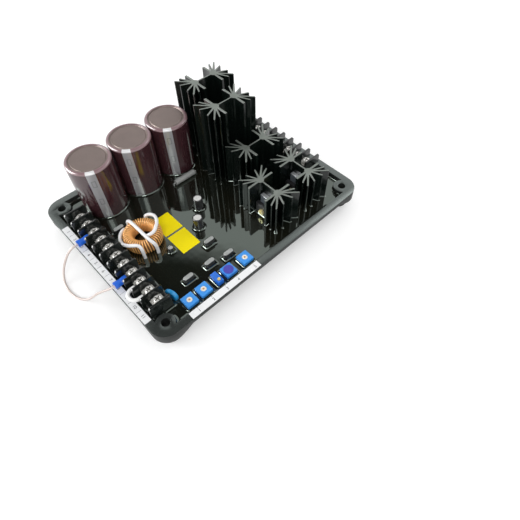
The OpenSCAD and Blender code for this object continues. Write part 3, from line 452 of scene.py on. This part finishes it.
def wrap_map(shape, x, y, foot, top, start):
    """A UV map that wraps round an upright shape: across is the turn from the start angle, up the height."""
    layer = shape.loops.layers.uv.new("wrap")
    for face in shape.faces:
        middle = face.calc_center_median()
        turn = math.atan2(middle.y - y, middle.x - x)
        for loop in face.loops:
            here = math.atan2(loop.vert.co.y - y, loop.vert.co.x - x)
            here += 2 * math.pi * round((turn - here) / (2 * math.pi))
            share = (here - math.radians(start)) / (2 * math.pi)
            loop[layer].uv = (share, (loop.vert.co.z - foot) / (top - foot))


def quarter_round(outer_r, top, r, steps):
    """Points of the round between an upright wall and a flat top, in a half section."""
    angles = [math.pi / 2 * i / steps for i in range(steps + 1)]
    return [(outer_r - r + r * math.cos(a), top - r + r * math.sin(a)) for a in angles]


def maths(material, kind, a, b=0.0):
    """One step of arithmetic in a material's nodes; a and b are numbers or sockets."""
    step = material.node_tree.nodes.new("ShaderNodeMath")
    step.operation = kind
    for socket, value in zip(step.inputs, (a, b)):
        if isinstance(value, (int, float)):
            socket.default_value = value
        else:
            material.node_tree.links.new(value, socket)
    return step.outputs[0]


def print_over(material, mask, colour):
    """Lays a second colour over the material's own where the mask is 1."""
    nodes, links = material.node_tree.nodes, material.node_tree.links
    socket = nodes["Principled BSDF"].inputs["Base Color"]
    over = nodes.new("ShaderNodeMix")
    over.data_type = "RGBA"
    over.inputs[7].default_value = (*colour, 1)
    links.new(mask, over.inputs["Factor"])
    links.new(socket.links[0].from_socket, over.inputs[6])
    links.new(over.outputs[2], socket)


def within(material, value, middle, reach):
    """1 where the value is nearer to the middle than the reach."""
    away = maths(material, "ABSOLUTE", maths(material, "SUBTRACT", value, middle))
    return maths(material, "LESS_THAN", away, reach)


maroon_film = finish("maroon_sleeve_film", SLEEVE_MAROON, 0.14, tone=0.18, patch=60, grain=420, bump=0.12,
                     gloss=0.9)
wrap = maroon_film.node_tree.nodes.new("ShaderNodeUVMap")
wrap.uv_map = "wrap"
wrap_parts = maroon_film.node_tree.nodes.new("ShaderNodeSeparateXYZ")
maroon_film.node_tree.links.new(wrap.outputs["UV"], wrap_parts.inputs[0])
# Painted highlight: the rounded shoulder is coloured lighter mauve, and the stripe whiter there.
shoulder_highlight_mask = maths(maroon_film, "GREATER_THAN", wrap_parts.outputs["Y"], SHOULDER)
print_over(maroon_film, shoulder_highlight_mask, SHOULDER_HIGHLIGHT_MAUVE)
turn_share = maths(maroon_film, "FRACT", maths(maroon_film, "ADD", wrap_parts.outputs["X"], 0.5))
cell_share = maths(maroon_film, "FRACT", maths(maroon_film, "MULTIPLY", wrap_parts.outputs["Y"], STRIPE_CELLS))
in_stripe = within(maroon_film, turn_share, 0.5, STRIPE_SHARE / 2)
print_over(maroon_film, in_stripe, STRIPE_GREY)
print_over(maroon_film, maths(maroon_film, "MULTIPLY", in_stripe, shoulder_highlight_mask), STRIPE_END_HIGHLIGHT_WHITE)
outer_mark, inner_mark = (
    maths(maroon_film, "MULTIPLY", within(maroon_film, turn_share, 0.5, STRIPE_SHARE * across),
          within(maroon_film, cell_share, MARK_LEVEL, along)) for across, along in (MARK_OUTER, MARK_INNER))
print_over(maroon_film, maths(maroon_film, "SUBTRACT", outer_mark, inner_mark), MARK_GREY)
can_metal = finish("dull_can_aluminium", CAN_GREY, 0.42, metal=0.55, tone=0.12, patch=120, grain=1800,
                   bump=0.15)

sleeve_outline = [(CAN_R, CAN_FOOT), (SLEEVE_R, CAN_FOOT), (SLEEVE_R, SLEEVE_WAIST),
                  *quarter_round(SLEEVE_R, SLEEVE_TOP, SLEEVE_ROUND, 8),
                  (SLEEVE_LIP_R + LIP_ACROSS, SLEEVE_TOP), (SLEEVE_LIP_R, SLEEVE_TOP - LIP_DOWN),
                  (SLEEVE_LIP_R, CAN_TOP - LIP_TUCK)]
can_outline = [(CAN_R - CAN_PLAY, CAN_FOOT), (CAN_R - CAN_PLAY, CAN_TOP - CAN_SHOULDER),
               *((r, CAN_TOP - drop) for r, drop in CAN_END)]
for number, stripe_angle in enumerate(STRIPE_ANGLES, 1):
    centre, _ = middle_and_half(f"capacitor_sleeve_{number}")
    sleeve = turned(sleeve_outline, centre.x, centre.y)
    wrap_map(sleeve, centre.x, centre.y, CAN_FOOT, SLEEVE_TOP, stripe_angle)
    piece(f"sleeve_{number}", sleeve, [maroon_film], stands_for=[f"capacitor_sleeve_{number}"])
    piece(f"can_{number}", turned(can_outline, centre.x, centre.y), [can_metal],
          stands_for=[f"capacitor_can_{number}"])

# The two barrier terminal strips: black moulded bases with a wall between the ways. Each way has a
# plated plate, a square clamp and a cross-slotted screw. The screw slots carry painted shade: their
# floors and sides are coloured dark.
STRIP_EDGE, SCREW_EDGE = 0.22, 0.18
SLOT_FLOOR = (26.2, 26.6)
FLAT, UPRIGHT = 0.9, 0.05

strip_plastic = finish("black_strip_plastic", (0.007, 0.009, 0.008), 0.20, tone=0.15, patch=60, grain=1800,
                       bump=0.05, gloss=0.6, ior=1.6)
screw_plating = finish("strip_screw_plating", (0.97, 0.95, 0.88), 0.26, metal=0.40, tone=0.10, patch=500,
                       grain=3000, bump=0.1)
# Painted shade: the floors and sides of the screw slots are coloured dark.
slot_painted_shade = finish("screw_slot_painted_shade", (0.10, 0.085, 0.06), 0.45, metal=0.6, patch=500, grain=3000, bump=0.1)
for side in ("left", "right"):
    piece(f"{side}_strip_moulding", break_edges(merged_copy(f"{side}_terminal_base"), STRIP_EDGE),
          [strip_plastic], stands_for=[f"{side}_terminal_base"])
    screws = break_edges(merged_copy(f"{side}_terminal_screws"), SCREW_EDGE, segments=1)
    for face in screws.faces:
        level, rise = face.calc_center_median().z, abs(face.normal.z)
        slot_floor = SLOT_FLOOR[0] < level < SLOT_FLOOR[1] and rise > FLAT
        slot_side = level > SLOT_FLOOR[1] and rise < UPRIGHT
        face.material_index = 1 if slot_floor or slot_side else 0
    piece(f"{side}_strip_screws", screws, [screw_plating, slot_painted_shade], stands_for=[f"{side}_terminal_screws"])
dress(finish("terminal_plate_plating", (0.94, 0.92, 0.85), 0.30, metal=0.45, tone=0.12, patch=300, grain=2500,
             bump=0.1), "left_terminal_plates", "right_terminal_plates")

# The five heat sinks: black anodised aluminium extrusions with six fins round each end of the web. They
# are sawn to length after anodising, so their ends are bare.
SINK_EDGE = 0.15

anodised = finish("black_anodised_extrusion", (0.004, 0.0065, 0.0054), 0.15, tone=0.3, patch=60, grain=900,
                  bump=0.1, gloss=0.38, stretch=(1, 1, 0.03))
sawn_end = finish("sawn_bare_end", (0.245, 0.27, 0.245), 0.5, metal=0.8, tone=0.2, patch=300, grain=2200,
                  bump=0.4, stretch=(0.15, 1, 1))
for node in SINKS:
    sink = break_edges(merged_copy(node), SINK_EDGE, segments=1)
    for face in sink.faces:
        face.material_index = 1 if abs(face.normal.z) > FLAT else 0
    piece(node.replace("heat_sink", "finned_sink"), sink, [anodised, sawn_end], stands_for=[node])

# The power devices: bodies of moulded black compound on thick plated tabs. One brass screw through each
# tab holds the device flat to its heat sink.
DEVICE_EDGE, TAB_EDGE = 0.3, 0.4
SQUARE_ON = 0.99

moulding = finish("device_moulding_compound", (0.022, 0.022, 0.023), 0.5, patch=200, grain=2600, bump=0.4)
for number in range(1, 6):
    piece(f"device_{number}", break_edges(merged_copy(f"device_body_{number}"), DEVICE_EDGE), [moulding],
          stands_for=[f"device_body_{number}"])
tab_plating = finish("blue_grey_tab_plating", (0.13, 0.15, 0.17), 0.3, tone=0.15, patch=300, grain=2000,
                     bump=0.15)
bare_edge = finish("bare_tab_edge", (0.62, 0.64, 0.66), 0.3, metal=0.6, tone=0.12, patch=300, grain=2000,
                   bump=0.1)
tabs = break_edges(merged_copy("device_tabs"), TAB_EDGE, segments=1)
for face in tabs.faces:
    plated = max(abs(c) for c in face.normal) > SQUARE_ON and face.normal.z < FLAT
    face.material_index = 0 if plated else 1
piece("device_tab_plates", tabs, [tab_plating, bare_edge], stands_for=["device_tabs"])
dress(finish("device_screw_brass", (0.95, 0.80, 0.45), 0.30, metal=0.5, tone=0.15, patch=400, grain=2000,
             bump=0.1), "device_screws")

# The trimmers: square blue housings in a row at the front edge. Three have a cream rotor with a slot,
# one is a slim multi-turn type with a brass screw, and one is sealed with violet lacquer.
HOUSING_EDGE, ROTOR_EDGE = 0.25, 0.1
ROTOR_CREAM = (0.82, 0.78, 0.69)
ROTOR_HUB_R, ROTOR_HUB_BROWN = 0.8, (0.55, 0.27, 0.08)

trimmer_blue = finish("trimmer_blue_plastic", (0.05, 0.30, 0.80), 0.32, tone=0.12, patch=200, grain=2200,
                      bump=0.2)
multiturn_blue = finish("multiturn_blue_plastic", (0.02, 0.16, 0.68), 0.32, tone=0.12, patch=200, grain=2200,
                        bump=0.2)
sealed_blue = finish("sealed_blue_plastic", (0.045, 0.25, 0.74), 0.34, tone=0.15, patch=200, grain=2200,
                     bump=0.2)


def rotor_finish(number, x, y):
    """Cream plastic with the brown wiper hub showing in the middle of the rotor."""
    cream = finish(f"rotor_cream_{number}", ROTOR_CREAM, 0.4, tone=0.08, patch=500, grain=2500, bump=0.2)
    nodes, links = cream.node_tree.nodes, cream.node_tree.links
    layout = nodes["layout"]
    layout.inputs["Location"].default_value = (-x * MM, -y * MM, 0)
    flat = nodes.new("ShaderNodeVectorMath")
    flat.operation = "MULTIPLY"
    flat.inputs[1].default_value = (1, 1, 0)
    links.new(layout.outputs["Vector"], flat.inputs[0])
    reach = nodes.new("ShaderNodeVectorMath")
    reach.operation = "LENGTH"
    links.new(flat.outputs[0], reach.inputs[0])
    print_over(cream, maths(cream, "LESS_THAN", reach.outputs["Value"], ROTOR_HUB_R * MM), ROTOR_HUB_BROWN)
    return cream


for number in (1, 2, 5):
    piece(f"trimmer_body_{number}", break_edges(merged_copy(f"trimmer_housing_{number}"), HOUSING_EDGE),
          [trimmer_blue], stands_for=[f"trimmer_housing_{number}"])
    rotor = f"trimmer_rotor_{number}"
    centre, _ = middle_and_half(rotor)
    piece(f"rotor_{number}", break_edges(merged_copy(rotor), ROTOR_EDGE, segments=1),
          [rotor_finish(number, centre.x, centre.y)], body=rotor, stands_for=[rotor])
piece("multiturn_body", break_edges(merged_copy("multiturn_housing"), HOUSING_EDGE), [multiturn_blue],
      stands_for=["multiturn_housing"])
piece("sealed_body", break_edges(merged_copy("sealed_trimmer"), HOUSING_EDGE), [sealed_blue],
      stands_for=["sealed_trimmer"])
dress(finish("adjuster_brass", (0.95, 0.76, 0.36), 0.30, metal=0.5, tone=0.12, patch=600, grain=3000, bump=0.1),
      "multiturn_adjuster")
dress(finish("violet_lacquer", (0.075, 0.07, 0.42), 0.18, tone=0.2, patch=400, grain=900, bump=0.2),
      "sealing_lacquer")

# The choke: a coated ring core wound with one layer of enamelled copper wire, standing flat on the
# resin, and lashed down with a thick white cord.
CHOKE_PLACE, _ = middle_and_half("choke_core")
RING_R, COIL_R, WIRE_R = 11.1, 3.46, 0.53
WIRE_SIDES, WIRE_BEND_STEPS = 6, 12
FLAT_HALF, FLAT_SPAN = 2.4, math.sin(math.radians(18))
TURNS, TURN_LEAN = 42, 3.2
COPPER = (1.0, 0.50, 0.17)
TIE_OFF, TIE_R, TIE_TURN = 5.42, 1.35, -44.0
TIE_OVER = ((142, 0, 0), (142, 22, 0), (142, 44, 0), (142, 66, 0), (142, 88, 0), (-52, 92, 0), (-50, 70, 0),
            (-47, 47, 0), (-44, 24, 0), (-42, 0, 0))
TIE_LEFT = ((-80, 0, 0), (-81, 20, 0), (-84, 38, 0), (-91, 49, 0), (-102, 47, 0), (-115, 36, 0), (-128, 23, 0),
            (-142, 12, 0.2), (-156, 6, 0.5), (-170, 4, 0.8), (-183, 4, 0.8), (-194, 4, 0.4), (-202, 0, 0))
TIE_RIGHT = ((91, 0, 0), (89, 20, 0.4), (82, 33, 1), (72, 40, 1.6), (58, 47, 1.6), (47, 56, 1), (37, 65, 0.4),
             (27, 75, 0), (14, 87, 0), (-2, 94, 0), (-15, 100, 0), (-25, 109, 0), (-33, 120, 0), (-39, 136, 0),
             (-43, 152, 0), (-45, 168, 0))
LINE_ROUNDNESS, LINE_STEPS = 4, 6

winding = bmesh.new()
wire_start = Matrix.Translation((RING_R + COIL_R, 0, FLAT_HALF))
round_wire = bmesh.ops.create_circle(winding, segments=WIRE_SIDES, radius=WIRE_R, matrix=wire_start)["verts"]
run = list(round_wire) + winding.edges[:]
for level in (FLAT_HALF, -FLAT_HALF):
    bent = bmesh.ops.spin(winding, geom=run, cent=(RING_R, 0, level), axis=(0, 1, 0), angle=-math.pi,
                          steps=WIRE_BEND_STEPS)
    drawn = bmesh.ops.extrude_edge_only(winding, edges=edges_in(bent["geom_last"]))["geom"]
    ends = verts_in(drawn)
    bmesh.ops.translate(winding, vec=(0, 0, -2 * level), verts=ends)
    run = ends + [edge for edge in edges_in(drawn) if all(vert in ends for vert in edge.verts)]
bmesh.ops.remove_doubles(winding, verts=winding.verts, dist=SPUN_SAME_PLACE)
bmesh.ops.recalc_face_normals(winding, faces=winding.faces)
bmesh.ops.rotate(winding, cent=(RING_R, 0, 0), matrix=Matrix.Rotation(math.radians(TURN_LEAN), 3, "X"),
                 verts=winding.verts)
bmesh.ops.spin(winding, geom=winding.verts[:] + winding.edges[:] + winding.faces[:], cent=(0, 0, 0),
               axis=(0, 0, 1), angle=2 * math.pi * (TURNS - 1) / TURNS, steps=TURNS - 1, use_duplicate=True)
bmesh.ops.translate(winding, vec=CHOKE_PLACE, verts=winding.verts)
for face in winding.faces:
    face.smooth = True
copper = finish("enamelled_copper", COPPER, 0.26, metal=0.12, tone=0.12, patch=260, grain=1500, bump=0.03,
                coat=0.25)
piece("copper_winding", winding, [copper], stands_for=["choke_winding"])
# Painted shade: the core is coloured dark brown so the gaps between the turns read as shadowed copper.
dress(finish("core_coating", (0.20, 0.08, 0.025), 0.5, patch=200, grain=1500, bump=0.2), "choke_core")


def ring_point(off, turn, rise):
    """A point round the ring's own section: turn goes round the ring, rise round the section."""
    a, b = math.radians(turn + TIE_TURN), math.radians(rise)
    reach = RING_R + off * math.cos(b)
    level = off * math.sin(b) + FLAT_HALF * max(-1, min(1, math.sin(b) / FLAT_SPAN))
    return CHOKE_PLACE + Vector((reach * math.cos(a), reach * math.sin(a), level))


def drawn_line(name, points, r):
    """A smooth round line through points in millimetres, as a curve object."""
    line = bpy.data.curves.new(name, "CURVE")
    line.dimensions = "3D"
    line.bevel_depth, line.bevel_resolution = r * MM, LINE_ROUNDNESS
    line.use_fill_caps = True
    line.resolution_u = LINE_STEPS
    knots = line.splines.new("BEZIER").bezier_points
    knots.add(len(points) - 1)
    for knot, place in zip(knots, points):
        knot.co = Vector(place) * MM
        knot.handle_left_type = knot.handle_right_type = "AUTO"
    made = bpy.data.objects.new(name, line)
    scene.collection.objects.link(made)
    return made


tie_cord = finish("white_tie_cord", (0.84, 0.84, 0.85), 0.55, tone=0.08, patch=300, grain=900, bump=0.4)
for index, strand in enumerate((TIE_OVER, TIE_LEFT, TIE_RIGHT), 1):
    points = [ring_point(TIE_OFF + slack, turn, rise) for turn, rise, slack in strand]
    feet = [Vector((end.x, end.y, RESIN_TOP)) for end in (points[0], points[-1])]
    lashing = drawn_line(f"tie_strand_{index}", [feet[0], *points, feet[1]], TIE_R)
    lashing.data.materials.append(tie_cord)
    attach(lashing, "regulator")
    if index == 1:
        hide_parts("choke_tie")

# The small parts on the board that stand out of the resin: film capacitors dipped in black epoxy, small
# upright capacitors with a bare top, a lying resistor and a blue disc varistor.
DIP_ROUND, VARISTOR_ROUND, SMALL_ROUND = 0.7, 1.2, 0.7
PALE_TOP_LEAN = 0.8
SLEEVE_END, END_EDGE, END_METAL = 0.78, 0.76, 0.765
END_DROP = 0.25

epoxy = finish("black_dipped_epoxy", (0.020, 0.021, 0.021), 0.22, patch=200, grain=700, bump=0.25, gloss=0.8)
# Faces turned upwards are coloured a paler grey than the capacitors' sides.
pale_epoxy = finish("pale_epoxy_top", (0.34, 0.355, 0.345), 0.35, tone=0.3, patch=300, grain=900, bump=0.3,
                      gloss=0.8)
for number in range(1, 6):
    dipped = break_edges(merged_copy(f"film_capacitor_{number}"), DIP_ROUND, segments=3)
    for face in dipped.faces:
        face.material_index = 1 if face.normal.z > PALE_TOP_LEAN else 0
    piece(f"film_capacitor_body_{number}", dipped, [epoxy, pale_epoxy],
          stands_for=[f"film_capacitor_{number}"])
can_sleeve = finish("small_can_sleeve", (0.020, 0.020, 0.022), 0.22, patch=200, grain=900, bump=0.1, gloss=0.7)
can_end = finish("small_can_end", (0.82, 0.82, 0.80), 0.25, metal=1.0, tone=0.06, patch=500, grain=2500,
                 bump=0.1)
for number in (1, 2, 3):
    centre, half = middle_and_half(f"small_capacitor_{number}")
    r, foot, top = half.x, centre.z - half.z, centre.z + half.z
    small = turned([(0, foot), (r, foot), (r, RESIN_TOP), *quarter_round(r, top, SMALL_ROUND, 5),
                    (r * SLEEVE_END, top), (r * END_EDGE, top - END_DROP), (0, top - END_DROP)],
                   centre.x, centre.y, steps=40)
    for face in small.faces:
        middle = face.calc_center_median()
        bare = math.hypot(middle.x - centre.x, middle.y - centre.y) < r * END_METAL and middle.z > RESIN_TOP
        face.material_index = 1 if bare else 0
    piece(f"small_can_{number}", small, [can_sleeve, can_end], stands_for=[f"small_capacitor_{number}"])
dress(finish("resistor_coating", (0.34, 0.35, 0.34), 0.28, patch=200, grain=900, bump=0.3, gloss=0.8),
      "axial_resistor")
varistor_blue = finish("varistor_blue_dip", (0.02, 0.30, 0.66), 0.14, tone=0.15, patch=300, grain=500, bump=0.2,
                       gloss=0.7)
piece("varistor_disc", break_edges(merged_copy("disc_varistor"), VARISTOR_ROUND, segments=4), [varistor_blue],
      stands_for=["disc_varistor"])

# The stickers and label strips: two plain yellow film squares on the resin and two white film strips on
# the rim, with cell lines and running numbers.
LABEL_TOP, PRINT_LIFT = 19.15, 0.02
DIGIT_H, LINE_W = 3.4, 0.22
LEFT_LABEL_X, LEFT_WAYS, LEFT_MIDDLE, WAY_PITCH = (-103.7, -98.3), 11, -6.0, 10.2
CELL_LINE_REACH = 0.8
FRONT_LABEL_Y, TRIMMER_ROW = (-82.2, -76.8), (-70.0, -57.3, -44.6, -33.7, -17.5)
NUMBER_DROP, TICK_RISE, TICK_REACH = 0.2, 0.75, 0.2

dress(finish("yellow_sticker_film", (0.95, 0.79, 0.0), 0.45, tone=0.05, patch=150, grain=1500, bump=0.1,
             gloss=0.2), "yellow_sticker_1", "yellow_sticker_2")
dress(finish("white_label_film", (0.84, 0.85, 0.86), 0.4, tone=0.04, patch=100, grain=1500, bump=0.1),
      "label_strip_left", "label_strip_front")
label_print = bmesh.new()


def printed_number(number, x, y, turn):
    """A running number, flat on a label strip, turned about its own middle."""
    digits = bpy.data.curves.new("digits", "FONT")
    digits.body, digits.size = str(number), DIGIT_H
    digits.align_x, digits.align_y = "CENTER", "CENTER"
    holder = bpy.data.objects.new("digits", digits)
    flat = bpy.data.meshes.new_from_object(holder)
    before = set(label_print.verts)
    label_print.from_mesh(flat)
    fresh = [vert for vert in label_print.verts if vert not in before]
    bmesh.ops.rotate(label_print, cent=(0, 0, 0), matrix=Matrix.Rotation(math.radians(turn), 3, "Z"),
                     verts=fresh)
    bmesh.ops.translate(label_print, vec=(x, y, LABEL_TOP + PRINT_LIFT), verts=fresh)
    bpy.data.objects.remove(holder)
    bpy.data.curves.remove(digits)
    bpy.data.meshes.remove(flat)


def printed_line(x, y, half_x, half_y):
    """A thin line, flat on a label strip."""
    fresh = bmesh.ops.create_grid(label_print, x_segments=1, y_segments=1, size=1.0)["verts"]
    bmesh.ops.scale(label_print, vec=(half_x, half_y, 1), verts=fresh)
    bmesh.ops.translate(label_print, vec=(x, y, LABEL_TOP + PRINT_LIFT), verts=fresh)


left_x, left_half = sum(LEFT_LABEL_X) / 2, (LEFT_LABEL_X[1] - LEFT_LABEL_X[0]) / 2
for way in range(LEFT_WAYS):
    way_y = LEFT_MIDDLE + (LEFT_WAYS // 2 - way) * WAY_PITCH
    printed_number(way + 1, left_x, way_y, -90)
    if way:
        printed_line(left_x, way_y + WAY_PITCH / 2, left_half * CELL_LINE_REACH, LINE_W / 2)
front_y, front_half = sum(FRONT_LABEL_Y) / 2, (FRONT_LABEL_Y[1] - FRONT_LABEL_Y[0]) / 2
for number, trimmer_x in enumerate(TRIMMER_ROW, 1):
    printed_number(number, trimmer_x, front_y - front_half * NUMBER_DROP, 0)
    printed_line(trimmer_x, front_y + front_half * TICK_RISE, LINE_W / 2, front_half * TICK_REACH)
label_ink = finish("black_label_ink", (0.02, 0.02, 0.022), 0.5, patch=300, grain=2000, bump=0.1)
piece("label_print", label_print, [label_ink])

# The wire link: a short bent piece of white insulated wire that joins two neighbouring ways, with a bare
# metal tongue under each screw. The jumper's forks are of the same tinned metal.
dress(finish("white_wire_insulation", (0.86, 0.86, 0.85), 0.38, tone=0.06, patch=150, grain=1200, bump=0.15),
      "link_insulation")
dress(finish("tinned_lug_metal", (0.70, 0.68, 0.64), 0.28, metal=1.0, tone=0.12, patch=400, grain=2000,
             bump=0.1), "link_tongues", "jumper_forks")

# The jumper: a white insulated wire between two ways of the left strip, hanging over the rim to the
# table, with a blue sleeved fork lug crimped on each end.
JUMPER_R, JUMPER_LENGTH = 0.9, 0.106
JUMPER_ROUTE = ((-99.5, 24.6, 24.2), (-103, 24.6, 24.2), (-107, 24.8, 23.4), (-111, 25.5, 20.5),
                (-114.5, 26.2, 16), (-117.5, 26.5, 11.5), (-120.5, 26, 7), (-123.5, 23.5, 3.2),
                (-125.5, 19.5, 1.45), (-126.5, 15, 0.96), (-126.8, 10, 0.94), (-126.3, 5, 0.94),
                (-125, 0.3, 0.96), (-122.5, -4, 1.45), (-119.5, -7.6, 3.2), (-116.5, -10.8, 7),
                (-114, -14, 11.5), (-111.5, -18, 16), (-109, -22, 20.3), (-106, -25.2, 23.2),
                (-103, -26.4, 24.2), (-99.5, -26.4, 24.2))

dress(finish("blue_lug_sleeve", (0.012, 0.125, 0.66), 0.3, tone=0.12, patch=200, grain=1200, bump=0.15),
      "jumper_sleeves")
jumper = drawn_line("jumper_cord", JUMPER_ROUTE, JUMPER_R)
jumper.data.materials.append(finish("jumper_wire_insulation", (0.66, 0.57, 0.53), 0.38, tone=0.06, patch=150,
                                    grain=1200, bump=0.15))
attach(jumper, "regulator")
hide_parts("jumper_wire")
